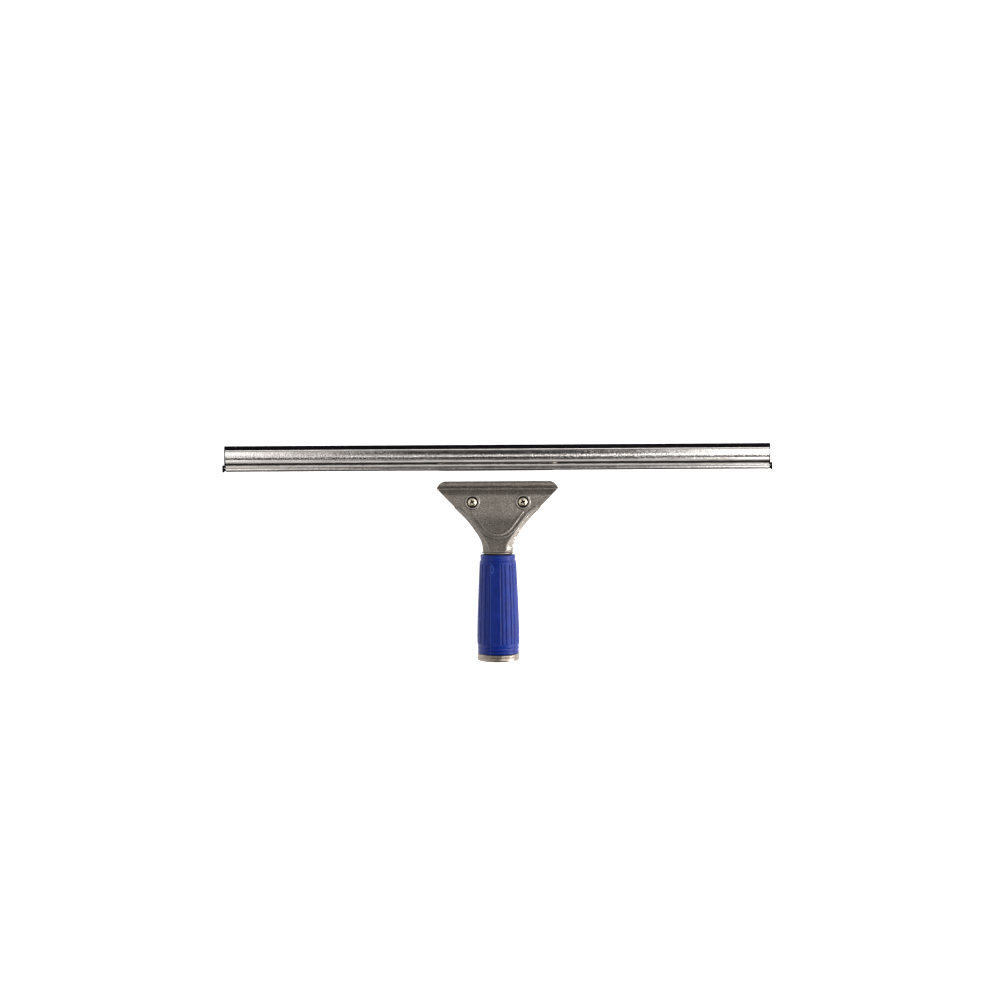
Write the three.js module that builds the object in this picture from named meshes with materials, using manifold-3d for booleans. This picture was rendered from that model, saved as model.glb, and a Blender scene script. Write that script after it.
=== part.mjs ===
// Window-cleaning squeegee, lying on its back with the clamp screws facing up.
//
// Millimetres. +X runs along the wiping bar, +Y points from the handle to the
// wiping edge, +Z is up. While it is being built, y = 0 is the front edge of
// the clamp jaws and z = 0 is the surface that the squeegee lies on. The last
// lines move the origin to the middle of the outer box, at its lowest height.
//
// The bar (channel, blade and end clips) lies in front of the open jaws. It
// slides in along -Y, and the two screws then draw the clamp plate down.

import * as THREE from 'three';
import { mergeVertices } from 'three/addons/utils/BufferGeometryUtils.js';
import Module from 'manifold-3d';

const wasm = await Module();
wasm.setup();

// ---------------------------------------------------------------- dimensions

const GAP = 0.3;                  // clearance between pieces that meet

const CHANNEL_LENGTH = 450;
const CHANNEL_SHEET = 0.6;        // sheet thickness
const BEAD_RADIUS = 2.3;          // rolled bead at the back of the channel
const WEB_HALF = 1.42;            // half height of the pinched web
const CROWN_HALF = 4.6;           // half height of the channel at its fullest
const CHANNEL_DEPTH = 18.5;       // back of the bead to the lips
const BLADE_REACH = 22;           // back of the bead to the wiping edge
const BLADE_HALF = 1;             // half thickness of the rubber
const BLADE_LENGTH = 453;
const CLIP_OVERHANG = 3;          // end clip beyond the channel
const CLIP_SHANK = 7;             // end clip inside the bead
const BAR_GAP = 8.3;              // from the jaws to the back of the bar

const HEAD_HALF = 50.5;           // half width across the tips of the jaws
const JAW_EDGE_HALF = 43.9;       // half width of their straight front edge
const TIP_Y = -5.8;
const CORNER_X = 34.6;            // lower corner of the clamp plate
const CORNER_Y = -22.3;
const APEX_Y = -47.2;             // lower end of the clamp plate
const SLOT_DEPTH = 6.2;           // how far the bar goes into the jaws
const LANDING = 2;                // rear jaw under the bar
const SEAT = 6.9;                 // casting under the clamp plate
const PLATE_UNDER = 7.3;          // clamp plate's underside when clamped
const PLATE_FACE = 13;            // clamp plate's outer face when clamped
const CLAMP_TRAVEL = 1.5;         // how far the plate stands open
const ARCH_START = -24;           // the head rises towards the neck from here
const ARCH_BLEND = 10;
const ARCH_SLOPE = 0.495;
const RELIEF = 0.6;               // raised rib and screw bosses
const RIM_RELIEF = 0.3;           // raised lower edge of the clamp plate
const RIM_WIDTH = 1.6;
const RIB_WIDTH = 1.1;

const SCREW_X = 20.9;
const SCREW_Y = -17.4;
const SCREW_SHANK_RADIUS = 1.9;   // M4
const SCREW_HEAD_RADIUS = 3.8;
const SCREW_HEAD_HEIGHT = 2.6;
const SCREW_LENGTH = 10;
const COUNTERBORE_RADIUS = 4.7;
const COUNTERBORE_FLOOR = 9.9;    // when clamped
const WASHER_THICKNESS = 0.8;
const WASHER_RADIUS = 3.6;
const BOSS_RADIUS = 6;
const FIT = 0.3;                  // clamp plate's edge to the casting's recess
const RECESS_TURN = 0.5;          // how the cross recess happens to stand, rad
const RECESS_HALF_LENGTH = 2.5;
const RECESS_HALF_WIDTH = 0.6;
const RECESS_DEPTH = 2;

const GRIP_TILT = THREE.MathUtils.degToRad(2.2);
const END_Y = -146.6;             // centre of the handle's open end
const END_RADIUS = 17.4;
const GRIP_LENGTH = 88.8;         // open end to the casting's shoulder
const NECK_HALF_WIDTH = 12.2;
const NECK_BOTTOM = 11.5;
const BORE_RADIUS = 11.8;         // inside the rubber sleeve
const TUBE_RADIUS = 11.5;
const SOCKET_MOUTH_RADIUS = 10.2; // tapered socket for an extension pole
const SOCKET_END_RADIUS = 8.8;
const SOCKET_DEPTH = 58;
const SPIGOT_RADIUS = 7.2;
const SPIGOT_LENGTH = 24;
const COLLAR_LENGTH = 5.6;
const COLLAR_CHAMFER = 1;
const RING_LENGTH = 1;
const RING_RADIUS = 13.3;
const MOUTH_GAP = 0.9;            // sleeve's mouth to the ring

// -------------------------------------------------------------- materials

const castMetal = new THREE.MeshStandardMaterial({ color: 0x5d5853, roughness: 0.5, metalness: 0.9 });
const stainless = new THREE.MeshStandardMaterial({ color: 0xbfbdb8, roughness: 0.22, metalness: 1 });
const screwSteel = new THREE.MeshStandardMaterial({ color: 0xcfc3ac, roughness: 0.3, metalness: 1 });
const nickel = new THREE.MeshStandardMaterial({ color: 0xa89a8c, roughness: 0.4, metalness: 0.9 });
const blackRubber = new THREE.MeshStandardMaterial({ color: 0x0b0a0b, roughness: 0.6, metalness: 0 });
const blueRubber = new THREE.MeshStandardMaterial({ color: 0x1c3c94, roughness: 0.5, metalness: 0 });

// ---------------------------------------------------------------- solids

function toSolid(geometry) {
  const bare = new THREE.BufferGeometry();
  bare.setAttribute('position', geometry.getAttribute('position'));
  bare.setIndex(geometry.getIndex());
  const merged = mergeVertices(bare, 1e-4);
  return new wasm.Manifold(new wasm.Mesh({
    numProp: 3,
    vertProperties: new Float32Array(merged.getAttribute('position').array),
    triVerts: new Uint32Array(merged.getIndex().array),
  }));
}

function toGeometry(solid) {
  const mesh = solid.getMesh();
  const geometry = new THREE.BufferGeometry();
  geometry.setAttribute('position', new THREE.BufferAttribute(new Float32Array(mesh.vertProperties), 3));
  geometry.setIndex(new THREE.BufferAttribute(new Uint32Array(mesh.triVerts), 1));
  geometry.computeVertexNormals();
  return geometry;
}

function outlineShape(points) {
  return new THREE.Shape(points.map(([x, y]) => new THREE.Vector2(x, y)));
}

// A solid from an outline in the XY plane, between two heights.
function prismZ(points, low, high) {
  const options = { depth: high - low, bevelEnabled: false };
  return new THREE.ExtrudeGeometry(outlineShape(points), options).translate(0, 0, low);
}

// Turns a solid drawn in the XY plane so that its outline lies in YZ.
const TURN_TO_X = new THREE.Matrix4().makeBasis(
  new THREE.Vector3(0, 1, 0),
  new THREE.Vector3(0, 0, 1),
  new THREE.Vector3(1, 0, 0),
);

// A solid from an outline in the YZ plane, between two x values.
function prismX(points, low, high) {
  return prismZ(points, low, high).applyMatrix4(TURN_TO_X);
}

function turned(profile, segments = 48) {
  const line = profile.map(([radius, along]) => new THREE.Vector2(radius, along));
  return new THREE.LatheGeometry(line, segments);
}

// An upright round bar, for screws and their holes.
function uprightRod(x, y, radius, low, high, segments = 32) {
  const geometry = new THREE.CylinderGeometry(radius, radius, high - low, segments);
  return geometry.rotateX(Math.PI / 2).translate(x, y, (low + high) / 2);
}

// Moves each point of a closed outline outwards by a distance. The outline
// runs anticlockwise.
function offsetOutline(points, distance) {
  const count = points.length;
  return points.map(([x, y], i) => {
    const [ax, ay] = points[(i + count - 1) % count];
    const [bx, by] = points[(i + 1) % count];
    const before = new THREE.Vector2(y - ay, ax - x).normalize();
    const after = new THREE.Vector2(by - y, x - bx).normalize();
    const middle = before.clone().add(after).normalize();
    const reach = distance / Math.max(middle.dot(before), 0.6);
    return [x + middle.x * reach, y + middle.y * reach];
  });
}

function arcPoints(centreX, centreY, radius, fromDegrees, toDegrees, steps) {
  const points = [];
  for (let i = 0; i <= steps; i += 1) {
    const angle = THREE.MathUtils.degToRad(fromDegrees + (toDegrees - fromDegrees) * i / steps);
    points.push([centreX + radius * Math.cos(angle), centreY + radius * Math.sin(angle)]);
  }
  return points;
}

function splinePoints(points, steps) {
  const curve = new THREE.SplineCurve(points.map(([x, y]) => new THREE.Vector2(x, y)));
  return curve.getPoints(steps).map((point) => [point.x, point.y]);
}

function mirrorX(points) {
  return points.map(([x, y]) => [-x, y]).reverse();
}

// ------------------------------------------------------------------ the bar
// Sections are drawn as [distance from the back of the bead, height above the
// bar's middle plane].

// Upper outer line of the folded channel, from the back of the bead to a lip.
function channelUpperLine() {
  const bead = arcPoints(BEAD_RADIUS, 0, BEAD_RADIUS, 180, 50, 8);
  const web = [[4.2, WEB_HALF], [4.7, WEB_HALF], [5.8, 1.66]];
  const step = splinePoints([[6.3, 1.9], [7, 2.5], [7.5, 2.8], [8.2, 2.95], [9.3, 3.12], [10.3, 2.95]], 10);
  const crown = splinePoints(
    [
      [10.8, 3.4], [11.3, 4.1], [12.2, 4.5], [14, CROWN_HALF], [16, CROWN_HALF], [17.3, 4.35], [18.2, 3.5],
      [CHANNEL_DEPTH, 2.3], [CHANNEL_DEPTH, 1.4],
    ],
    20,
  ).map(([along, up]) => [along, Math.min(up, CROWN_HALF)]);
  return [...bead, ...web, ...step, ...crown];
}

function channelSection() {
  const upper = channelUpperLine();
  const lower = upper.slice(1).map(([along, up]) => [along, -up]);
  const outer = [...lower.reverse(), ...upper];
  const inner = outer.map(([along, up], i) => {
    const [ax, ay] = outer[Math.max(i - 1, 0)];
    const [bx, by] = outer[Math.min(i + 1, outer.length - 1)];
    const inwards = new THREE.Vector2(by - ay, ax - bx).normalize().multiplyScalar(CHANNEL_SHEET);
    return [along + inwards.x, up + inwards.y];
  });
  return [...outer, ...inner.reverse()];
}

function bladeSection() {
  const upper = [[BLADE_REACH, BLADE_HALF], [6.6, BLADE_HALF], [5.6, 0.6], [3.9, 0.6]];
  const bulb = arcPoints(BEAD_RADIUS, 0, BEAD_RADIUS - CHANNEL_SHEET - GAP, 30, 330, 12);
  const lower = upper.map(([along, up]) => [along, -up]).reverse();
  return [...upper, ...bulb, ...lower];
}

function makeChannel() {
  return prismX(channelSection(), -CHANNEL_LENGTH / 2, CHANNEL_LENGTH / 2);
}

// The blade's bulb stops short of both ends, where the clips go in.
function makeBlade() {
  let blade = toSolid(prismX(bladeSection(), -BLADE_LENGTH / 2, BLADE_LENGTH / 2));
  const room = CHANNEL_LENGTH / 2 - CLIP_SHANK - GAP;
  for (const side of [-1, 1]) {
    const block = new THREE.BoxGeometry(40, 5, 5);
    block.translate(side * (room + 20), 2 * BEAD_RADIUS - CHANNEL_SHEET - 2.5, 0);
    blade = blade.subtract(toSolid(block));
  }
  return toGeometry(blade);
}

// A rubber foot outside the channel, on a round shank inside the bead.
function makeClip(side) {
  const foot = outlineShape([
    [0.7, -2.2], [5.4, -2.2], [6.2, -1.4], [6.2, 1.4], [5.4, 2.2], [0.7, 2.2], [0, 1.5], [0, -1.5],
  ]);
  const start = BLADE_LENGTH / 2 + GAP;
  const end = CHANNEL_LENGTH / 2 + CLIP_OVERHANG;
  const bevel = 0.35;
  const footSolid = new THREE.ExtrudeGeometry(foot, {
    depth: end - start - 2 * bevel,
    bevelThickness: bevel,
    bevelSize: bevel,
    bevelOffset: -bevel,
    bevelSegments: 2,
  });
  footSolid.translate(0, 0, start + bevel);
  const shankRadius = BEAD_RADIUS - CHANNEL_SHEET - GAP - 0.05;
  const shankStart = CHANNEL_LENGTH / 2 - CLIP_SHANK;
  const shankEnd = start + 0.6;
  const shank = new THREE.CylinderGeometry(shankRadius, shankRadius, shankEnd - shankStart, 20);
  shank.rotateX(Math.PI / 2).translate(BEAD_RADIUS, 0, (shankEnd + shankStart) / 2);
  let clip = toSolid(footSolid).add(toSolid(shank)).transform(TURN_TO_X.elements);
  if (side < 0) {
    clip = clip.mirror([1, 0, 0]);
  }
  return toGeometry(clip);
}

// ----------------------------------------------------------------- the head

// How far the head has risen at a place along the handle.
function arch(y) {
  const run = Math.max(ARCH_START - y, 0);
  if (run < ARCH_BLEND) {
    return ARCH_SLOPE * run * run / (2 * ARCH_BLEND);
  }
  return ARCH_SLOPE * (run - ARCH_BLEND / 2);
}

function archedLine(height, from, to, steps) {
  const points = [];
  for (let i = 0; i <= steps; i += 1) {
    const y = from + (to - from) * i / steps;
    points.push([y, height + arch(y)]);
  }
  return points;
}

// Lower edge of the clamp plate, from its apex to its right-hand corner.
function plateLowerEdge() {
  return splinePoints(
    [[0, APEX_Y], [5.5, -46.8], [11.5, -43.3], [17, -37.2], [23.4, -29.1], [29.5, -23.4], [32.4, -22.3]],
    22,
  );
}

// Half outline of the clamp plate from the lower apex to the front edge.
function plateHalfOutline() {
  const corner = [[CORNER_X - 0.5, CORNER_Y - 0.1], [CORNER_X + 0.6, CORNER_Y + 0.7]];
  const tip = [[HEAD_HALF - 0.5, TIP_Y - 0.7], [HEAD_HALF, TIP_Y]];
  const shoulder = splinePoints([[49.2, -3.8], [47.2, -1.6], [JAW_EDGE_HALF, 0]], 6);
  return [...plateLowerEdge(), ...corner, ...tip, ...shoulder];
}

function plateOutline() {
  const half = plateHalfOutline();
  return [...half, ...mirrorX(half.slice(1))];
}

// Section of the clamp plate: hooked lip, groove over the bead, ridge, hollow
// and ramp at the front, and the arched face behind them.
function plateSection(lift) {
  const under = [
    [0, PLATE_UNDER + 0.1], [-0.4, 6.6], [-0.8, 6.4], [-1.5, 6.4], [-2.1, 6.95], [-2.8, PLATE_UNDER],
    ...archedLine(PLATE_UNDER, ARCH_START, APEX_Y - 1, 12),
  ];
  const face = [
    ...archedLine(PLATE_FACE + lift, ARCH_START, APEX_Y - 1, 12).reverse(),
    [-12.2, PLATE_FACE - 0.1 + lift], [-11, 12.5 + lift], [-7.6, 9.9], [-7, 9.5], [-6.4, 9.35],
    [-5.6, 9.6], [-4.4, 10.35], [-3.6, 10.6], [-2.6, 10.65], [-1.4, 10.45], [-0.4, 9.7], [0, 8.8],
  ];
  return [...under, ...face].reverse();
}

// Part of the plate inside a plan outline, with its face raised by a lift.
function plateLayer(outline, lift) {
  const section = toSolid(prismX(plateSection(lift), -HEAD_HALF - 2, HEAD_HALF + 2));
  return section.intersect(toSolid(prismZ(outline, 0, 60)));
}

// A band of even width along an open line.
function band(line, width) {
  const left = [];
  const right = [];
  line.forEach(([x, y], i) => {
    const [ax, ay] = line[Math.max(i - 1, 0)];
    const [bx, by] = line[Math.min(i + 1, line.length - 1)];
    const side = new THREE.Vector2(by - ay, ax - bx).normalize().multiplyScalar(width / 2);
    left.push([x + side.x, y + side.y]);
    right.push([x - side.x, y - side.y]);
  });
  return [...left, ...right.reverse()];
}

function makeClampPlate() {
  const outline = plateOutline();
  let plate = plateLayer(outline, 0);
  const edge = plateLowerEdge();
  const rim = plateLayer(band([...mirrorX(edge.slice(1)), ...edge], 2 * RIM_WIDTH), RIM_RELIEF);
  plate = plate.add(rim.intersect(toSolid(prismZ(outline, 0, 60))));
  const ribHalf = splinePoints([[0, -43.8], [5.6, -42.9], [11.2, -38.4], [16.4, -31.2], [21.2, -25.2]], 14);
  const ribLine = [...mirrorX(ribHalf.slice(1)), ...ribHalf];
  plate = plate.add(plateLayer(band(ribLine, RIB_WIDTH), RELIEF));
  for (const side of [-1, 1]) {
    const boss = arcPoints(side * SCREW_X, SCREW_Y, BOSS_RADIUS, 0, 350, 35);
    plate = plate.add(plateLayer(boss, RELIEF));
  }
  for (const side of [-1, 1]) {
    const x = side * SCREW_X;
    plate = plate.subtract(toSolid(uprightRod(x, SCREW_Y, SCREW_SHANK_RADIUS + 0.5, 0, 30)));
    plate = plate.subtract(toSolid(uprightRod(x, SCREW_Y, COUNTERBORE_RADIUS, COUNTERBORE_FLOOR, 30, 40)));
  }
  return toGeometry(plate);
}

// Half width of the casting at places along the handle, front to neck.
const CASTING_WIDTHS = [
  [0, 43.4], [-0.8, 45.6], [-2.2, 47.7], [-4, 49.3], [TIP_Y, 50], [-6.6, 49.5], [-13, 43.6], [-20.5, 36.6],
  [-23, 34.9], [-25.5, 32.3], [-28, 29.6], [-31, 26.7], [-35, 23.2], [-38, 20.9], [-41.5, 18.5], [-44.5, 16.4],
  [-47.6, 14.6], [-50.5, 13.4], [-53.5, 12.6], [-61, NECK_HALF_WIDTH],
];

// One ring of the casting: flat below with rounded lower edges, upright sides
// and shoulders that slope up to the face, which is level with the open plate's.
function castingRing(y, halfWidth) {
  const toNeck = THREE.MathUtils.smoothstep(-y, 26, 58.4);
  const bottom = NECK_BOTTOM * toNeck;
  const top = PLATE_FACE + CLAMP_TRAVEL + arch(y);
  const lowerRound = 1 + 5 * toNeck;
  const slopeWidth = 3.8 + 2.7 * THREE.MathUtils.smoothstep(-y, 42, 58);
  const slopeHeight = 4 + 2.2 * THREE.MathUtils.smoothstep(-y, 42, 58);
  const lower = arcPoints(halfWidth - lowerRound, bottom + lowerRound, lowerRound, -90, 0, 5);
  const upper = [[0, -0.12], [0.03, 0.06], [0.1, 0.16], [0.9, 0.93], [0.97, 0.99], [1.12, 1]].map(
    ([across, up]) => [halfWidth - slopeWidth * across, top - slopeHeight * (1 - up)],
  );
  const right = [...lower, ...upper];
  const left = right.map(([x, z]) => [-x, z]).reverse();
  return [[0, bottom], ...right, [0, top], ...left].map(([x, z]) => new THREE.Vector3(x, y, z));
}

// A closed solid through rings of equal point count.
function loft(rings) {
  const count = rings[0].length;
  const points = rings.flat();
  const total = (ring) => ring.reduce((sum, point) => sum.add(point), new THREE.Vector3());
  const middle = (ring) => total(ring).divideScalar(count);
  const first = points.push(middle(rings[0])) - 1;
  const last = points.push(middle(rings[rings.length - 1])) - 1;
  const lastRing = (rings.length - 1) * count;
  const index = [];
  for (let j = 0; j < count; j += 1) {
    const next = (j + 1) % count;
    index.push(first, next, j);
    index.push(last, lastRing + j, lastRing + next);
    for (let i = 0; i < rings.length - 1; i += 1) {
      const a = i * count;
      const b = a + count;
      index.push(a + j, a + next, b + next);
      index.push(a + j, b + next, b + j);
    }
  }
  const geometry = new THREE.BufferGeometry().setFromPoints(points);
  geometry.setIndex(index);
  return geometry;
}

// Frame of the grip: its local y axis runs from the open end to the neck.
function gripFrame() {
  const height = END_RADIUS * Math.cos(GRIP_TILT) - COLLAR_CHAMFER * Math.sin(GRIP_TILT);
  return new THREE.Matrix4().makeRotationX(GRIP_TILT).setPosition(0, END_Y, height);
}

function makeHeadCasting() {
  let casting = toSolid(loft(CASTING_WIDTHS.map(([y, halfWidth]) => castingRing(y, halfWidth))));

  const recessPlan = offsetOutline(plateOutline(), FIT);
  const recessSection = [
    [4, SEAT], [4, 60], [APEX_Y - 3, 60],
    ...archedLine(SEAT, ARCH_START, APEX_Y - 3, 12).reverse(),
  ];
  const recess = toSolid(prismX(recessSection.reverse(), -60, 60));
  casting = casting.subtract(recess.intersect(toSolid(prismZ(recessPlan, 0, 60))));

  const slot = new THREE.BoxGeometry(2 * HEAD_HALF + 10, SLOT_DEPTH + 2, 20);
  slot.translate(0, 1 - SLOT_DEPTH / 2, LANDING + 10);
  casting = casting.subtract(toSolid(slot));

  // Shallow pocket in the back, with a land left round each screw hole.
  const pocketPlan = [[-36, -9.5], [-27, -21], [27, -21], [36, -9.5]];
  let pocket = toSolid(prismZ(pocketPlan, -1, 0.9));
  for (const side of [-1, 1]) {
    pocket = pocket.subtract(toSolid(uprightRod(side * SCREW_X, SCREW_Y, 4.4, -2, 2)));
  }
  casting = casting.subtract(pocket);

  for (const side of [-1, 1]) {
    casting = casting.subtract(
      toSolid(uprightRod(side * SCREW_X, SCREW_Y, SCREW_SHANK_RADIUS + GAP, -1, 10, 24)),
    );
  }

  // The shoulder is square to the grip, and the spigot goes into its tube.
  const behindShoulder = turned([[0, 50], [30, 50], [30, GRIP_LENGTH], [0, GRIP_LENGTH]], 24);
  casting = casting.subtract(toSolid(behindShoulder.applyMatrix4(gripFrame())));
  const spigot = turned([
    [0, GRIP_LENGTH - SPIGOT_LENGTH], [SPIGOT_RADIUS - 0.8, GRIP_LENGTH - SPIGOT_LENGTH],
    [SPIGOT_RADIUS, GRIP_LENGTH - SPIGOT_LENGTH + 0.8], [SPIGOT_RADIUS, GRIP_LENGTH],
    [SPIGOT_RADIUS - 3, GRIP_LENGTH + 3], [0, GRIP_LENGTH + 3],
  ], 40).applyMatrix4(gripFrame());
  return toGeometry(casting.add(toSolid(spigot)));
}

// --------------------------------------------------------------- the screws

// Height of a screw head's underside while the clamp stands open.
function screwSeatHeight() {
  return COUNTERBORE_FLOOR + CLAMP_TRAVEL + GAP + WASHER_THICKNESS + GAP;
}

// Pan-head screw with a cross recess; local z = 0 is the head's underside.
function makeScrew() {
  const head = turned([
    [0, -SCREW_LENGTH], [SCREW_SHANK_RADIUS - 0.5, -SCREW_LENGTH], [SCREW_SHANK_RADIUS, -SCREW_LENGTH + 0.6],
    [SCREW_SHANK_RADIUS, 0], [SCREW_HEAD_RADIUS - 0.15, 0], [SCREW_HEAD_RADIUS, 0.3], [SCREW_HEAD_RADIUS, 1.1],
    [3.55, 1.75], [3, 2.2], [2.2, 2.48], [1.1, SCREW_HEAD_HEIGHT - 0.02], [0, SCREW_HEAD_HEIGHT],
  ], 28).rotateX(Math.PI / 2);
  let screw = toSolid(head);
  const wide = RECESS_HALF_LENGTH * Math.SQRT2;
  for (const turn of [0, Math.PI / 2]) {
    const arm = new THREE.CylinderGeometry(wide, wide / 3, RECESS_DEPTH, 4);
    arm.rotateY(Math.PI / 4).scale(1, 1, RECESS_HALF_WIDTH / RECESS_HALF_LENGTH).rotateX(Math.PI / 2);
    arm.translate(0, 0, SCREW_HEAD_HEIGHT + 0.1 - RECESS_DEPTH / 2);
    arm.rotateZ(turn + RECESS_TURN);
    screw = screw.subtract(toSolid(arm));
  }
  return toGeometry(screw);
}

// Split spring washer.
function makeWasher() {
  const ring = turned([
    [SCREW_SHANK_RADIUS + GAP, 0], [WASHER_RADIUS, 0], [WASHER_RADIUS, WASHER_THICKNESS],
    [SCREW_SHANK_RADIUS + GAP, WASHER_THICKNESS], [SCREW_SHANK_RADIUS + GAP, 0],
  ], 32).rotateX(Math.PI / 2);
  const split = new THREE.BoxGeometry(3, 0.5, 3);
  split.translate(3, 0, 0.4);
  return toGeometry(toSolid(ring).subtract(toSolid(split)));
}

// ----------------------------------------------------------------- the grip
// Profiles are [radius, distance from the open end].

function makeEndCollar() {
  const outer = END_RADIUS;
  return turned([
    [BORE_RADIUS, 0], [outer - 1, 0], [outer - 0.3, 0.3], [outer, COLLAR_CHAMFER], [outer, 2.9],
    [outer - 0.35, 3.2], [outer - 0.35, 3.6], [outer, 3.9], [outer - 0.1, 5], [outer - 0.6, COLLAR_LENGTH],
    [BORE_RADIUS, COLLAR_LENGTH], [BORE_RADIUS, 0],
  ]);
}

function makeSleeve() {
  const low = COLLAR_LENGTH + GAP;
  const high = GRIP_LENGTH - GAP - RING_LENGTH - MOUTH_GAP;
  return turned([
    [BORE_RADIUS, low], [16.3, low], [16.8, low + 0.5], [16.9, 8.1], [16.5, 8.6], [16.9, 9.1], [17, 11.1],
    [16.6, 11.6], [17.05, 12.1], [17.3, 16], [17.3, 22], [17, 34], [16.5, 48], [15.9, 62], [15.35, 74],
    [15.1, 80.6], [14.9, 81.2], [14.3, 81.8], [14.35, 82.6], [14.4, 85.6], [14.2, high - 0.5], [13.6, high],
    [BORE_RADIUS, high], [BORE_RADIUS, low],
  ]);
}

function makeTopRing() {
  const low = GRIP_LENGTH - GAP - RING_LENGTH;
  const high = GRIP_LENGTH - GAP;
  return turned([
    [SPIGOT_RADIUS + GAP, low], [RING_RADIUS, low], [RING_RADIUS, high], [SPIGOT_RADIUS + GAP, high],
    [SPIGOT_RADIUS + GAP, low],
  ]);
}

// Tube inside the sleeve: tapered pole socket below, seat of the spigot above.
function makeShankTube() {
  const low = 0.6;
  const high = GRIP_LENGTH - 2 * GAP - RING_LENGTH;
  return turned([
    [SOCKET_MOUTH_RADIUS + 0.6, low], [TUBE_RADIUS, low], [TUBE_RADIUS, high], [SPIGOT_RADIUS + GAP, high],
    [SPIGOT_RADIUS + GAP, SOCKET_DEPTH + 1], [SOCKET_END_RADIUS, SOCKET_DEPTH], [SOCKET_MOUTH_RADIUS, low + 1],
    [SOCKET_MOUTH_RADIUS + 0.6, low],
  ]);
}

// ----------------------------------------------------------------- assembly

function place(parent, name, geometry, material) {
  const mesh = new THREE.Mesh(geometry, material);
  mesh.name = name;
  parent.add(mesh);
  return mesh;
}

const squeegee = new THREE.Group();

const bar = new THREE.Group();
bar.position.set(0, BAR_GAP, CROWN_HALF);
place(bar, 'channel', makeChannel(), stainless);
place(bar, 'rubber_blade', makeBlade(), blackRubber);
place(bar, 'end_clip_left', makeClip(-1), blackRubber);
place(bar, 'end_clip_right', makeClip(1), blackRubber);
squeegee.add(bar);

place(squeegee, 'head_casting', makeHeadCasting(), castMetal);

const clamp = new THREE.Group();
clamp.position.z = CLAMP_TRAVEL;
place(clamp, 'clamp_plate', makeClampPlate(), castMetal);
squeegee.add(clamp);

for (const [side, word] of [[-1, 'left'], [1, 'right']]) {
  const screw = place(squeegee, `clamp_screw_${word}`, makeScrew(), screwSteel);
  screw.position.set(side * SCREW_X, SCREW_Y, screwSeatHeight());
  const washer = place(squeegee, `spring_washer_${word}`, makeWasher(), screwSteel);
  washer.position.set(side * SCREW_X, SCREW_Y, screwSeatHeight() - GAP - WASHER_THICKNESS);
}

const grip = new THREE.Group();
grip.applyMatrix4(gripFrame());
place(grip, 'shank_tube', makeShankTube(), nickel);
place(grip, 'top_ring', makeTopRing(), nickel);
place(grip, 'grip_sleeve', makeSleeve(), blueRubber);
place(grip, 'end_collar', makeEndCollar(), nickel);
squeegee.add(grip);

squeegee.updateMatrixWorld(true);
const outerBox = new THREE.Box3().setFromObject(squeegee, true);
const middle = outerBox.getCenter(new THREE.Vector3());
squeegee.position.set(-middle.x, -middle.y, -outerBox.min.z);

export default squeegee;
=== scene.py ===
"""Window-cleaning squeegee: the looks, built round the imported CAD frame.

Metres, +X along the wiping bar, +Y towards its wiping edge, +Z up. The handle
lies on its back with the clamp screws up, and the bar lies in front of it.
"""

import math

import bmesh
import bpy
from mathutils import Matrix, Vector


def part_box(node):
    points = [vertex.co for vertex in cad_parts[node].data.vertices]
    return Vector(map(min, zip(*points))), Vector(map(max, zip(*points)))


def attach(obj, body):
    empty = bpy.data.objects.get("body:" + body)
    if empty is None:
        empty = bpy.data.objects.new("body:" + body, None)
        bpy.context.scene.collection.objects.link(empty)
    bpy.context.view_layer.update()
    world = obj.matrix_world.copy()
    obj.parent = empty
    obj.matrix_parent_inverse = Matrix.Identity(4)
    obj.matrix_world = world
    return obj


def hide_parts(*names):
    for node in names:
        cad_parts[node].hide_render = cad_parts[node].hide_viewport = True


MM = 0.001
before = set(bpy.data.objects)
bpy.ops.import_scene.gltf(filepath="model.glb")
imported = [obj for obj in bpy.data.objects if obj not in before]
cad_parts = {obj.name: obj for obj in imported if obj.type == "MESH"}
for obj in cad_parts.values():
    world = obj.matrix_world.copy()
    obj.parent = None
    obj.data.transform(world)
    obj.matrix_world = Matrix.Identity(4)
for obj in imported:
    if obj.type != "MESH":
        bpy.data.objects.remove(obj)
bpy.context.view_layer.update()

# Places that the materials and the bar are measured from.
channel_low, channel_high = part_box("channel")
BAR_BACK = channel_low[1]
BAR_HEIGHT = (channel_low[2] + channel_high[2]) / 2
screw_low, screw_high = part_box("clamp_screw_right")
SCREW_PLACE = ((screw_low[0] + screw_high[0]) / 2, (screw_low[1] + screw_high[1]) / 2, screw_high[2])


# ------------------------------------------------------------ shape helpers


def spline(points, steps):
    """Points along a Catmull-Rom curve through the given points."""
    last = len(points) - 1
    out = []
    for i in range(steps + 1):
        place = i / steps * last
        k = min(int(place), last - 1)
        t = place - k
        a, b = points[max(k - 1, 0)], points[k]
        c, d = points[k + 1], points[min(k + 2, last)]
        out.append(tuple(
            0.5 * (2 * b[n] + (c[n] - a[n]) * t + (2 * a[n] - 5 * b[n] + 4 * c[n] - d[n]) * t * t
                   + (3 * b[n] - a[n] - 3 * c[n] + d[n]) * t ** 3)
            for n in range(2)
        ))
    return out


def arc(centre, radius, from_deg, to_deg, steps):
    """Points along a circle's arc."""
    out = []
    for i in range(steps + 1):
        angle = math.radians(from_deg + (to_deg - from_deg) * i / steps)
        out.append((centre[0] + radius * math.cos(angle), centre[1] + radius * math.sin(angle)))
    return out


def smoothstep(value, low, high):
    """0 below low, 1 above high, and a smooth rise between them."""
    t = min(max((value - low) / (high - low), 0.0), 1.0)
    return t * t * (3 - 2 * t)


def bump_at(value, centre, half_width):
    """A smooth hump, 1 at the centre and 0 beyond half_width."""
    t = abs(value - centre) / half_width
    return 0.0 if t >= 1 else (1 - t * t) ** 2


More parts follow.
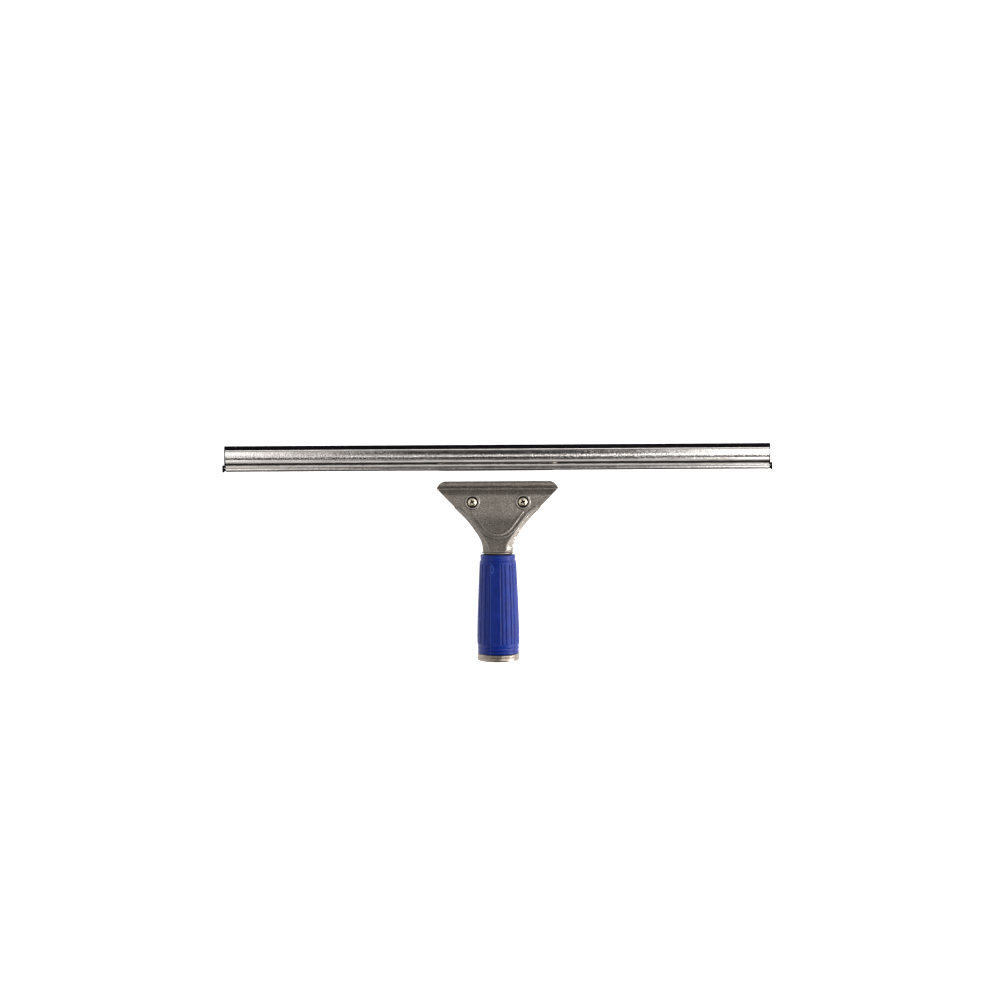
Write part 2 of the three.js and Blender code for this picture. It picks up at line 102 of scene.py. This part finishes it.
def mesh_object(name, vertices, faces):
    """A smooth-shaded object with its faces pointing out."""
    mesh = bpy.data.meshes.new(name)
    mesh.from_pydata(vertices, [], faces)
    mesh.validate()
    work = bmesh.new()
    work.from_mesh(mesh)
    bmesh.ops.recalc_face_normals(work, faces=work.faces)
    work.to_mesh(mesh)
    work.free()
    mesh.polygons.foreach_set("use_smooth", [True] * len(mesh.polygons))
    piece = bpy.data.objects.new(name, mesh)
    bpy.context.scene.collection.objects.link(piece)
    return piece


def ring_faces(rings, count, closed_rings=False):
    """Quads between rings of equal count; the rings may close on themselves."""
    faces = []
    for i in range(rings if closed_rings else rings - 1):
        a = i * count
        b = (i + 1) % rings * count
        for j in range(count):
            k = (j + 1) % count
            faces.append((a + j, a + k, b + k, b + j))
    return faces


def crease_sharp(piece, degrees):
    """Keeps edges sharper than an angle sharp in a smooth-shaded piece."""
    work = bmesh.new()
    work.from_mesh(piece.data)
    limit = math.radians(degrees)
    for edge in work.edges:
        if len(edge.link_faces) == 2 and edge.calc_face_angle() > limit:
            edge.smooth = False
    work.to_mesh(piece.data)
    work.free()


def even_steps(half, count):
    """Places from -half to half, in count equal steps."""
    return [-half + 2 * half * i / count for i in range(count + 1)]


def extruded_section(name, section, stations, place):
    """A closed section swept along x; place(x, along, up) gives each point."""
    count = len(section)
    vertices = [place(x, along, up) for x in stations for along, up in section]
    faces = ring_faces(len(stations), count)
    faces.append(tuple(range(count)))
    faces.append(tuple(range((len(stations) - 1) * count, len(stations) * count)))
    return mesh_object(name, vertices, faces)


def give_material(piece, material):
    piece.data.materials.clear()
    piece.data.materials.append(material)


# ------------------------------------------------------------------ materials


def srgb(red, green, blue):
    """Linear colour from 0-255 display values."""
    out = []
    for value in (red, green, blue):
        c = value / 255
        out.append(c / 12.92 if c <= 0.04045 else ((c + 0.055) / 1.055) ** 2.4)
    return (*out, 1.0)


class NodeMaker:
    """Adds nodes to a material's or a world's tree."""

    def __init__(self, tree):
        self.nodes = tree.nodes
        self.links = tree.links

    def link(self, source, target):
        self.links.new(source, target)

    def span(self, source, low, high, out_low, out_high):
        """Maps low..high to out_low..out_high and holds the ends."""
        node = self.nodes.new("ShaderNodeMapRange")
        self.link(source, node.inputs["Value"])
        sockets = ("From Min", "From Max", "To Min", "To Max")
        for socket, value in zip(sockets, (low, high, out_low, out_high)):
            node.inputs[socket].default_value = value
        return node.outputs["Result"]

    def maths(self, operation, first, second=0.0):
        node = self.nodes.new("ShaderNodeMath")
        node.operation = operation
        for socket, value in zip(node.inputs, (first, second)):
            if isinstance(value, float):
                socket.default_value = value
            else:
                self.link(value, socket)
        return node.outputs["Value"]

    def times(self, first, second):
        return self.maths("MULTIPLY", first, second)

    def ramp(self, source, stops):
        """Colours by position; each stop is (position, colour)."""
        node = self.nodes.new("ShaderNodeValToRGB")
        self.link(source, node.inputs["Fac"])
        elements = node.color_ramp.elements
        elements[0].position, elements[0].color = stops[0]
        elements[1].position, elements[1].color = stops[-1]
        for position, colour in stops[1:-1]:
            elements.new(position).color = colour
        return node.outputs["Color"]

    def parts(self, vector):
        node = self.nodes.new("ShaderNodeSeparateXYZ")
        self.link(vector, node.inputs[0])
        return node.outputs


class Finish(NodeMaker):
    """A node material on the object's own coordinates, in metres."""

    def __init__(self, name, **uniform):
        self.material = bpy.data.materials.new(name)
        self.material.use_nodes = True
        super().__init__(self.material.node_tree)
        self.shader = self.nodes["Principled BSDF"]
        for socket, value in uniform.items():
            self.shader.inputs[socket.replace("_", " ")].default_value = value
        self.coordinates = self.nodes.new("ShaderNodeTexCoord").outputs["Object"]

    def scaled(self, scale):
        mapping = self.nodes.new("ShaderNodeMapping")
        mapping.inputs["Scale"].default_value = scale
        self.link(self.coordinates, mapping.inputs["Vector"])
        return mapping.outputs["Vector"]

    def noise(self, scale, detail=4.0, roughness=0.6, distortion=0.0):
        """Fractal noise; scale is in cells per metre, one number or one for each axis."""
        node = self.nodes.new("ShaderNodeTexNoise")
        if isinstance(scale, tuple):
            self.link(self.scaled(scale), node.inputs["Vector"])
            node.inputs["Scale"].default_value = 1.0
        else:
            self.link(self.coordinates, node.inputs["Vector"])
            node.inputs["Scale"].default_value = scale
        node.inputs["Detail"].default_value = detail
        node.inputs["Roughness"].default_value = roughness
        node.inputs["Distortion"].default_value = distortion
        return node.outputs["Fac"]

    def worn_edges(self, low, high):
        """1 on outer edges and corners, 0 on flat places."""
        geometry = self.nodes.new("ShaderNodeNewGeometry")
        return self.span(geometry.outputs["Pointiness"], low, high, 0.0, 1.0)

    def mixed(self, factor, first, second):
        node = self.nodes.new("ShaderNodeMix")
        node.data_type = "RGBA"
        sockets = [s for s in node.inputs if s.type == "RGBA"]
        self.link(factor, node.inputs[0])
        for socket, value in zip(sockets, (first, second)):
            if isinstance(value, tuple):
                socket.default_value = value
            else:
                self.link(value, socket)
        return [s for s in node.outputs if s.type == "RGBA"][0]

    def colour(self, source):
        self.link(source, self.shader.inputs["Base Color"])

    def roughness(self, source):
        self.link(source, self.shader.inputs["Roughness"])

    def bumps(self, *layers):
        """Each layer is (height source, depth in metres)."""
        normal = None
        for source, depth in layers:
            node = self.nodes.new("ShaderNodeBump")
            node.inputs["Strength"].default_value = 1.0
            node.inputs["Distance"].default_value = depth
            self.link(source, node.inputs["Height"])
            if normal is not None:
                self.link(normal, node.inputs["Normal"])
            normal = node.outputs["Normal"]
        self.link(normal, self.shader.inputs["Normal"])


def from_screw_axis(finish):
    """Sources for the distance from the nearer clamp screw's axis, and for the height."""
    across, along, up = finish.parts(finish.coordinates)
    from_x = finish.maths("SUBTRACT", finish.maths("ABSOLUTE", across), SCREW_PLACE[0])
    from_y = finish.maths("SUBTRACT", along, SCREW_PLACE[1])
    squares = finish.maths("ADD", finish.times(from_x, from_x), finish.times(from_y, from_y))
    return finish.maths("SQRT", squares), up


def cast_metal():
    """Raw casting: dark warm grey, sandy, brighter where it is rubbed, with painted shade round the screws.
    """
    finish = Finish("cast_metal", Metallic=0.85)
    grain = finish.noise(1400.0, detail=6.0, roughness=0.8)
    patches = finish.noise(90.0, detail=3.0)
    base = finish.ramp(grain, [
        (0.38, srgb(62, 57, 53)), (0.5, srgb(100, 94, 88)), (0.62, srgb(156, 149, 141)),
    ])
    dulled = finish.mixed(finish.span(patches, 0.35, 0.7, 0.0, 0.4), base, srgb(84, 77, 71))
    worn = finish.mixed(finish.worn_edges(0.515, 0.56), dulled, srgb(188, 182, 174))
    # Painted shade: near-black within about 5 mm of each clamp screw's axis, standing in for the
    # counterbore's shadow.
    counterbore_shade = finish.span(from_screw_axis(finish)[0], 5.0 * MM, 4.6 * MM, 0.0, 1.0)
    finish.colour(finish.mixed(counterbore_shade, worn, srgb(30, 25, 22)))
    finish.roughness(finish.span(finish.noise(420.0, detail=5.0), 0.3, 0.7, 0.36, 0.52))
    finish.bumps((grain, 0.22 * MM), (finish.noise(260.0, detail=3.0), 0.25 * MM))
    return finish.material


def stainless():
    """Bright rolled sheet with fine lines along the bar, dimples, and dents behind its crown."""
    finish = Finish("stainless", Metallic=1.0)
    lines = finish.noise((30.0, 7000.0, 7000.0), detail=3.0, roughness=0.7)
    dimples = finish.noise((340.0, 620.0, 620.0), detail=3.0)
    smears = finish.noise((60.0, 420.0, 420.0), detail=5.0, roughness=0.7)
    finish.colour(finish.ramp(smears, [(0.3, srgb(196, 191, 188)), (0.7, srgb(232, 228, 225))]))
    finish.roughness(finish.span(smears, 0.3, 0.75, 0.07, 0.16))
    along = finish.parts(finish.coordinates)[1]
    behind_crown = finish.times(
        finish.span(along, BAR_BACK + 10.0 * MM, BAR_BACK + 11.0 * MM, 0.0, 1.0),
        finish.span(along, BAR_BACK + 12.2 * MM, BAR_BACK + 14.5 * MM, 1.0, 0.0),
    )
    dents = finish.times(finish.noise((760.0, 1100.0, 1100.0), detail=2.0), behind_crown)
    finish.bumps((dimples, 0.06 * MM), (dents, 0.45 * MM), (lines, 0.008 * MM))
    return finish.material


def blade_rubber():
    """Black natural rubber with a faint bloom."""
    finish = Finish("blade_rubber", Specular_IOR_Level=0.05)
    bloom = finish.noise(240.0, detail=5.0)
    finish.colour(finish.ramp(bloom, [(0.35, srgb(3, 2, 4)), (0.75, srgb(12, 10, 13))]))
    finish.roughness(finish.span(bloom, 0.3, 0.7, 0.55, 0.75))
    finish.bumps((finish.noise(1800.0, detail=3.0), 0.03 * MM))
    return finish.material


def grip_rubber():
    """Moulded blue rubber, slightly shiny, with rubbed and dusty places."""
    finish = Finish("grip_rubber", Specular_IOR_Level=0.16)
    rubbed = finish.noise(130.0, detail=5.0, roughness=0.65)
    fine = finish.noise(2200.0, detail=3.0)
    finish.colour(finish.ramp(rubbed, [
        (0.3, srgb(0, 22, 92)), (0.55, srgb(0, 28, 104)), (0.8, srgb(8, 38, 118)),
    ]))
    finish.roughness(finish.span(rubbed, 0.3, 0.75, 0.3, 0.46))
    finish.bumps((rubbed, 0.2 * MM), (fine, 0.02 * MM))
    return finish.material


def seam_highlight_rubber():
    """The same rubber where the mould halves met: paler, as a painted highlight, and shinier."""
    finish = Finish("seam_highlight_rubber", Specular_IOR_Level=0.35)
    # Painted highlight: a paler blue than the grip, standing in for the glint along the seam ridge and the
    # gate ring.
    finish.colour(finish.ramp(finish.noise(500.0), [(0.3, srgb(2, 44, 122)), (0.7, srgb(4, 62, 142))]))
    finish.roughness(finish.span(finish.noise(900.0), 0.3, 0.7, 0.35, 0.5))
    return finish.material


def screw_steel():
    """Warm nickel plating, with painted shade making the cross recess black."""
    finish = Finish("screw_steel", Metallic=1.0)
    stain = finish.noise(900.0, detail=5.0, roughness=0.7)
    plated = finish.ramp(stain, [(0.3, srgb(150, 136, 116)), (0.6, srgb(214, 203, 183))])
    from_axis, up = from_screw_axis(finish)
    near = finish.span(from_axis, 2.9 * MM, 2.5 * MM, 0.0, 1.0)
    sunk = finish.span(up, SCREW_PLACE[2] - 0.25 * MM, SCREW_PLACE[2] - 0.55 * MM, 0.0, 1.0)
    # Painted shade: near-black near the screw's axis and below the head's top, inside the cross recess.
    finish.colour(finish.mixed(finish.times(near, sunk), plated, srgb(26, 21, 17)))
    finish.roughness(finish.span(stain, 0.3, 0.7, 0.22, 0.4))
    finish.bumps((stain, 0.04 * MM))
    return finish.material


def collar_metal():
    """Turned metal with fine rings and dull patches."""
    finish = Finish("collar_metal", Metallic=1.0)
    rings = finish.noise((120.0, 5200.0, 120.0), detail=2.0)
    dull = finish.noise(160.0, detail=5.0, roughness=0.7)
    finish.colour(finish.ramp(dull, [(0.3, srgb(92, 83, 75)), (0.7, srgb(156, 146, 136))]))
    finish.roughness(finish.span(dull, 0.3, 0.7, 0.26, 0.46))
    finish.bumps((rings, 0.02 * MM), (dull, 0.12 * MM))
    return finish.material


def shaded_tube_metal():
    """Tube painted near-black as shade, only seen in the socket and past the sleeve's mouth."""
    finish = Finish("shaded_tube_metal", Metallic=0.6)
    stain = finish.noise(300.0, detail=5.0)
    # Painted shade: the tube is kept near-black so the socket and the gap past the sleeve's mouth read as
    # shadow.
    finish.colour(finish.ramp(stain, [(0.3, srgb(22, 19, 18)), (0.7, srgb(52, 47, 43))]))
    finish.roughness(finish.span(stain, 0.3, 0.7, 0.5, 0.75))
    finish.bumps((stain, 0.1 * MM))
    return finish.material


CAST = cast_metal()
STAINLESS = stainless()
BLADE = blade_rubber()
GRIP = grip_rubber()
SEAM_HIGHLIGHT = seam_highlight_rubber()
SCREW = screw_steel()
COLLAR = collar_metal()
SHADED_TUBE = shaded_tube_metal()


# ---------------------------------------------------------------- camera, light

CAMERA_HEIGHT = 1.157
LENS = 50.0
VIEW_CENTRE = Vector((0.0020, 0.04275, 0.0))
CAMERA_ROLL = math.radians(-0.35)


def make_camera():
    data = bpy.data.cameras.new("camera")
    data.lens = LENS
    data.sensor_width = 36.0
    camera = bpy.data.objects.new("camera", data)
    camera.location = VIEW_CENTRE + Vector((0.0, 0.0, CAMERA_HEIGHT))
    camera.rotation_euler = (0.0, 0.0, CAMERA_ROLL)
    bpy.context.scene.collection.objects.link(camera)
    bpy.context.scene.camera = camera


def area_light(name, location, target, size, power):
    """A rectangular light, in metres and watts, that faces its target."""
    data = bpy.data.lights.new(name, "AREA")
    data.shape = "RECTANGLE"
    data.size, data.size_y = size
    data.energy = power
    light = bpy.data.objects.new(name, data)
    light.location = location
    aim = Vector(target) - Vector(location)
    light.rotation_euler = aim.to_track_quat("-Z", "Y").to_euler()
    light.visible_camera = False
    bpy.context.scene.collection.objects.link(light)


def make_lights():
    """A softbox overhead and a low strip on each side, stronger on the right."""
    for side, sign, power in (("left", -1, 5.0), ("right", 1, 22.0)):
        area_light(f"softbox_{side}", (sign * 1.15, 0.15, 1.25), (sign * 0.1, 0.04, 0.0), (1.0, 1.6), power)
    for side, sign, power in (("left", -1, 4.0), ("right", 1, 30.0)):
        area_light(f"strip_{side}", (sign * 1.3, -0.3, 0.3), (0.0, 0.0, 0.03), (1.9, 0.45), power)


DARK_SLOT = math.radians(5.2)    # half width of the room's dark band, which runs along Y overhead
BRIGHT_EDGE = math.radians(8.5)  # from here out, to the left and right, it is bright


def grey(level):
    return (level, level, level, 1.0)


def make_studio():
    """A pale room: bright to both sides overhead, with a dark band between them."""
    world = bpy.data.worlds.new("studio")
    world.use_nodes = True
    maker = NodeMaker(world.node_tree)
    across, along, up = maker.parts(maker.nodes.new("ShaderNodeTexCoord").outputs["Generated"])
    sideways = maker.maths("ABSOLUTE", across)
    overhead = maker.times(
        maker.span(sideways, math.sin(DARK_SLOT), math.sin(BRIGHT_EDGE), 0.0, 1.0),
        maker.span(along, -0.16, -0.03, 0.0, 1.0),
    )
    overhead = maker.times(overhead, maker.span(up, 0.5, 0.85, 0.3, 1.0))
    overhead = maker.times(overhead, maker.span(across, -0.15, 0.15, 1.0, 1.35))
    walls = maker.times(maker.span(up, 0.5, 0.2, 0.0, 0.5), maker.span(sideways, 0.3, 0.6, 0.0, 1.0))
    # From the low side behind the grip, past a bright bank and the dark middle, to the far side.
    room = maker.ramp(maker.span(along, -1.0, 1.0, 0.0, 1.0), [
        (0.0, grey(0.03)), (0.27, grey(0.03)), (0.31, grey(0.8)), (0.43, grey(0.7)), (0.46, grey(0.02)),
        (0.57, grey(0.02)), (0.70, grey(0.14)), (1.0, grey(0.2)),
    ])
    level = maker.maths("MAXIMUM", maker.maths("MAXIMUM", overhead, walls), room)
    background = maker.nodes["Background"]
    background.inputs["Color"].default_value = (1.0, 0.985, 0.97, 1.0)
    maker.link(level, background.inputs["Strength"])
    bpy.context.scene.world = world
    bpy.context.scene.view_settings.view_transform = "Standard"


FLOOR_REACH = 6.0
FLOOR_DROP = 0.2 * MM


def make_floor():
    """A plain pale floor just under the squeegee, a little bright of itself."""
    corners = [(FLOOR_REACH * x, FLOOR_REACH * y, 0.0) for x, y in ((-1, -1), (1, -1), (1, 1), (-1, 1))]
    floor = mesh_object("floor", corners, [(0, 1, 2, 3)])
    floor.location.z = -FLOOR_DROP
    finish = Finish("floor", Roughness=0.9, Emission_Strength=0.8)
    finish.shader.inputs["Emission Color"].default_value = (1.0, 1.0, 1.0, 1.0)
    finish.colour(finish.ramp(finish.noise(3.0), [(0.3, srgb(250, 249, 250)), (0.7, srgb(253, 252, 253))]))
    give_material(floor, finish.material)


make_camera()
make_lights()
make_studio()
make_floor()


# -------------------------------------------------------------------- the bar
# Sections are (distance from the back of the bead, height over the middle
# plane), in millimetres, as the CAD channel's.

BEAD_RADIUS = 2.3
SHEET = 0.6
CROWN_HALF = 4.6
CHANNEL_DEPTH = 18.5
BLADE_REACH = 22.0
BLADE_HALF = 1.0
BLADE_EDGE = 0.12        # bevel on the wiping edge


def channel_upper_line():
    """The folded sheet's upper outside: bead, pinched web with its step, and crown."""
    bead = arc((BEAD_RADIUS, 0.0), BEAD_RADIUS, 180, 52, 28)
    web = spline([(3.72, 1.8), (4.1, 1.42), (4.6, 1.42), (5.8, 1.66), (6.3, 1.9), (7.0, 2.5), (7.5, 2.8),
                  (8.2, 2.95), (9.3, 3.12), (9.9, 3.06), (10.3, 2.95)], 60)
    crown = spline([(10.45, 2.98), (10.8, 3.4), (11.3, 4.1), (12.2, 4.5), (14.0, CROWN_HALF),
                    (16.0, CROWN_HALF), (17.3, 4.35), (18.2, 3.5), (CHANNEL_DEPTH, 2.3),
                    (CHANNEL_DEPTH, 1.4)], 72)
    return bead + web[1:] + [(along, min(up, CROWN_HALF)) for along, up in crown]


def channel_section():
    """The outer line mirrored, and closed by the same line one sheet further in."""
    upper = channel_upper_line()
    outer = [(along, -up) for along, up in upper[:0:-1]] + upper
    inner = []
    for i, (along, up) in enumerate(outer):
        ax, ay = outer[max(i - 1, 0)]
        bx, by = outer[min(i + 1, len(outer) - 1)]
        length = math.hypot(bx - ax, by - ay)
        inner.append((along + (by - ay) / length * SHEET, up + (ax - bx) / length * SHEET))
    return outer + inner[::-1]


def bar_point(x, along, up):
    return (x, BAR_BACK + along * MM, BAR_HEIGHT + up * MM)


def make_channel():
    half = channel_high[0]
    channel = extruded_section("bar_channel", channel_section(), even_steps(half, 90), bar_point)
    crease_sharp(channel, 50)
    give_material(channel, STAINLESS)
    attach(channel, "bar")
    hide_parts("channel")


make_channel()


def make_blade():
    """The blade, with a fine line near its wiping edge and a thinner root in the web."""
    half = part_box("rubber_blade")[1][0]
    upper = [(BLADE_REACH, BLADE_HALF - BLADE_EDGE), (BLADE_REACH - BLADE_EDGE, BLADE_HALF),
             (19.6, BLADE_HALF), (19.3, 0.93), (19.0, BLADE_HALF), (6.6, BLADE_HALF), (6.1, 0.8),
             (5.6, 0.6), (3.9, 0.6)]
    lower = [(along, -up) for along, up in upper[::-1]]
    blade = extruded_section("wiping_blade", upper + lower, even_steps(half, 60), bar_point)
    crease_sharp(blade, 25)
    give_material(blade, BLADE)
    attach(blade, "bar")
    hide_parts("rubber_blade")


make_blade()


# ------------------------------------------------------- castings and screws


def soften(node, material, voxel, rounds):
    """Turns a CAD node's facets into one surface with rounded edges; voxel is in metres."""
    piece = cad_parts[node]
    give_material(piece, material)
    remesh = piece.modifiers.new("cast surface", "REMESH")
    remesh.mode = "VOXEL"
    remesh.voxel_size = voxel
    remesh.use_smooth_shade = True
    smooth = piece.modifiers.new("cast rounding", "SMOOTH")
    smooth.factor = 0.5
    smooth.iterations = rounds


soften("head_casting", CAST, 0.35 * MM, 8)
soften("clamp_plate", CAST, 0.28 * MM, 5)
for side in ("left", "right"):
    soften(f"clamp_screw_{side}", SCREW, 0.11 * MM, 3)
    soften(f"spring_washer_{side}", SCREW, 0.1 * MM, 2)
    soften(f"end_clip_{side}", BLADE, 0.14 * MM, 3)


# ------------------------------------------------------------------- the grip

GRIP_TILT = math.radians(2.2)
END_RADIUS = 17.4
GRIP_LENGTH = 88.8
BORE_RADIUS = 11.8
TUBE_RADIUS = 11.5
SPIGOT_RADIUS = 7.2
COLLAR_LENGTH = 5.6
RING_LENGTH = 1.0
RING_RADIUS = 13.3
MOUTH_GAP = 0.9          # sleeve's mouth to the ring
GAP = 0.3                # clearance between pieces that meet
TURNED_SEGMENTS = 192

collar_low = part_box("end_collar")[0]
END_HEIGHT = END_RADIUS * math.cos(GRIP_TILT) - math.sin(GRIP_TILT)
END_PLACE = collar_low[1] / MM + (END_RADIUS - 1) * math.sin(GRIP_TILT)


def grip_matrix():
    """Places (across, along, up) from the open end's centre, in millimetres."""
    place = Matrix.Translation((0.0, END_PLACE * MM, END_HEIGHT * MM))
    return place @ Matrix.Rotation(GRIP_TILT, 4, "X") @ Matrix.Scale(MM, 4)


def turned(name, profile, material, node):
    """A ring turned about the grip's axis from (radius, along) points."""
    matrix = grip_matrix()
    vertices = []
    for i in range(TURNED_SEGMENTS):
        angle = 2 * math.pi * i / TURNED_SEGMENTS
        for radius, along in profile:
            vertices.append(matrix @ Vector((radius * math.sin(angle), along, radius * math.cos(angle))))
    piece = mesh_object(name, vertices, ring_faces(TURNED_SEGMENTS, len(profile), closed_rings=True))
    crease_sharp(piece, 35)
    give_material(piece, material)
    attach(piece, "handle")
    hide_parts(node)


def make_collar():
    """Ring at the open end, with a groove round its middle."""
    outer = END_RADIUS
    profile = [
        (BORE_RADIUS, 0.15), (BORE_RADIUS + 0.15, 0.0), (outer - 1.0, 0.0), (outer - 0.6, 0.1),
        (outer - 0.25, 0.35), (outer - 0.06, 0.7), (outer, 1.1), (outer, 2.75), (outer - 0.1, 2.9),
        (outer - 0.35, 3.15), (outer - 0.4, 3.4), (outer - 0.35, 3.65), (outer - 0.1, 3.9),
        (outer - 0.02, 4.05), (outer - 0.1, 4.9), (outer - 0.3, 5.3), (outer - 0.7, COLLAR_LENGTH),
        (BORE_RADIUS, COLLAR_LENGTH),
    ]
    turned("open_end_collar", profile, COLLAR, "end_collar")


def make_top_ring():
    """Thin ring between the sleeve's mouth and the neck."""
    low = GRIP_LENGTH - GAP - RING_LENGTH + 0.3
    high = GRIP_LENGTH - GAP
    profile = [
        (SPIGOT_RADIUS + GAP, low), (RING_RADIUS - 0.2, low), (RING_RADIUS, low + 0.2),
        (RING_RADIUS, high - 0.2), (RING_RADIUS - 0.2, high), (SPIGOT_RADIUS + GAP, high),
    ]
    turned("neck_ring", profile, COLLAR, "top_ring")


def make_tube():
    """Tube inside the sleeve, with the tapered pole socket."""
    high = GRIP_LENGTH - 2 * GAP - RING_LENGTH
    profile = [
        (10.8, 0.6), (TUBE_RADIUS - 0.2, 0.6), (TUBE_RADIUS, 0.8), (TUBE_RADIUS, high),
        (SPIGOT_RADIUS + GAP, high), (SPIGOT_RADIUS + GAP, 59.0), (8.8, 58.0), (10.2, 1.6), (10.45, 0.9),
    ]
    turned("socket_tube", profile, SHADED_TUBE, "shank_tube")


make_collar()
make_top_ring()
make_tube()

FLUTE_PAIRS = 12
FLUTE_FIRST = 15.0       # degrees from the top towards +X
FLUTE_LAST = 327.4
FLUTE_HALF_SPREAD = 5.6
FLUTE_HALF_WIDTH = 3.6
FLUTE_DEPTH = 0.6
FLUTE_LOW = 13.6
FLUTE_HIGH = 79.6
PANEL_CENTRE = -6.0      # the flatter panel between the last flute and the first
PANEL_HALF_WIDTH = 16.0
PANEL_RADIUS = 16.4      # sleeve's radius at the panel
PANEL_SHARE = 0.8        # 1 would make it quite flat
GROOVE_DEPTH = 0.45
SEAM_ANGLE = -22.0
SEAM_HALF_WIDTH = 0.9    # degrees
SEAM_RISE = 0.08
GATE_PLACE = 75.3
GATE_ANGLE = SEAM_ANGLE + 3.0
GATE_RADIUS = 15.3       # sleeve's radius at the gate mark
GATE_HALF_WIDTH = 1.3
GATE_HALF_LENGTH = 2.9
GATE_RISE = 0.12
SLEEVE_SEGMENTS = 720


def groove(radius, place, half_width):
    """Points across a narrow groove round the sleeve."""
    steps = [place + half_width * t for t in (-1.0, -0.66, -0.33, 0.0, 0.33, 0.66, 1.0)]
    return [(radius - GROOVE_DEPTH * bump_at(s, place, half_width), s) for s in steps]


def make_sleeve_line():
    """The sleeve's outer line: foot, two grooves, swelling body, step, collar band and mouth."""
    low = COLLAR_LENGTH + GAP
    high = GRIP_LENGTH - GAP - RING_LENGTH - MOUTH_GAP
    foot = [(16.35, low), (16.7, low + 0.2), (16.88, low + 0.6), (16.9, 7.4)]
    body = spline([(17.05, 12.7), (17.3, 16.0), (17.3, 22.0), (17.0, 34.0), (16.5, 48.0), (15.9, 62.0),
                   (15.35, 74.0), (15.1, 80.6)], 150)
    step = [(15.0, 81.1), (14.8, 81.4), (14.4, 81.7), (14.3, 82.0), (14.33, 82.5)]
    band = [(14.36 + 0.04 * t, 82.9 + 2.9 * t) for t in (0.0, 0.25, 0.5, 0.75, 1.0)]
    top = [(14.3, high - 0.5), (14.0, high - 0.12), (13.6, high), (12.6, high), (12.2, high - 0.4)]
    return foot + groove(16.92, 8.6, 0.7) + groove(17.0, 11.6, 0.7) + body + step + band + top


SLEEVE_LINE = make_sleeve_line()


def flute_depth(degrees, along):
    """How far the flutes cut into the sleeve."""
    rise = smoothstep(along, FLUTE_LOW, FLUTE_LOW + 1.2)
    ends = rise * (1 - smoothstep(along, FLUTE_HIGH - 1.2, FLUTE_HIGH))
    pitch = (FLUTE_LAST - FLUTE_FIRST) / (FLUTE_PAIRS - 1)
    turn = (degrees - FLUTE_FIRST) % 360
    pair = min(round(turn / pitch), FLUTE_PAIRS - 1)
    near = min(turn - pair * pitch, turn - 360, key=abs)
    left = bump_at(near, -FLUTE_HALF_SPREAD, FLUTE_HALF_WIDTH)
    right = bump_at(near, FLUTE_HALF_SPREAD, FLUTE_HALF_WIDTH)
    return FLUTE_DEPTH * ends * (left + right)


def panel_depth(degrees, along):
    """How far the flatter panel lies below the round sleeve."""
    from_centre = abs(degrees - PANEL_CENTRE)
    if from_centre >= PANEL_HALF_WIDTH:
        return 0.0
    chord = math.cos(math.radians(PANEL_HALF_WIDTH)) / math.cos(math.radians(from_centre))
    rise = smoothstep(along, FLUTE_LOW - 1, FLUTE_LOW + 3)
    ends = rise * (1 - smoothstep(along, FLUTE_HIGH - 3, FLUTE_HIGH + 1))
    return PANEL_RADIUS * (1 - chord) * ends * PANEL_SHARE


def gate_mark(degrees, along):
    """Oval ring left by the mould's gate, on the seam."""
    across = math.radians(degrees - GATE_ANGLE) * GATE_RADIUS / GATE_HALF_WIDTH
    lengthwise = (along - GATE_PLACE) / GATE_HALF_LENGTH
    return bump_at(math.hypot(across, lengthwise), 1.0, 0.34)


def make_sleeve():
    matrix = grip_matrix()
    inner = [(BORE_RADIUS, SLEEVE_LINE[-1][1]), (BORE_RADIUS, SLEEVE_LINE[0][1])]
    count = len(SLEEVE_LINE) + len(inner)
    vertices = []
    for i in range(SLEEVE_SEGMENTS):
        degrees = 360.0 * i / SLEEVE_SEGMENTS - 180.0
        angle = math.radians(degrees)
        seam = max(bump_at(degrees, place, SEAM_HALF_WIDTH) for place in (SEAM_ANGLE, SEAM_ANGLE + 180))
        for k, (radius, along) in enumerate(SLEEVE_LINE + inner):
            if k < len(SLEEVE_LINE):
                radius -= flute_depth(degrees, along) * (1 - seam) + panel_depth(degrees, along)
                radius += SEAM_RISE * seam + GATE_RISE * gate_mark(degrees, along)
            vertices.append(matrix @ Vector((radius * math.sin(angle), along, radius * math.cos(angle))))
    sleeve = mesh_object("fluted_sleeve", vertices, ring_faces(SLEEVE_SEGMENTS, count, closed_rings=True))
    crease_sharp(sleeve, 60)
    give_material(sleeve, GRIP)
    # Second slot: the paler rubber, painted as a highlight on the seam and the gate mark.
    sleeve.data.materials.append(SEAM_HIGHLIGHT)
    paint_seam_highlight(sleeve)
    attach(sleeve, "handle")
    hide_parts("grip_sleeve")


def paint_seam_highlight(sleeve):
    """Gives the seam's and the gate mark's faces the paler rubber, a painted highlight."""
    inverse = grip_matrix().inverted()
    for face in sleeve.data.polygons:
        local = inverse @ face.center
        degrees = math.degrees(math.atan2(local.x, local.z))
        on_seam = min(abs(degrees - SEAM_ANGLE), abs(degrees - SEAM_ANGLE - 180)) < 0.55
        if on_seam or gate_mark(degrees, local.y) > 0.3:
            face.material_index = 1


make_sleeve()
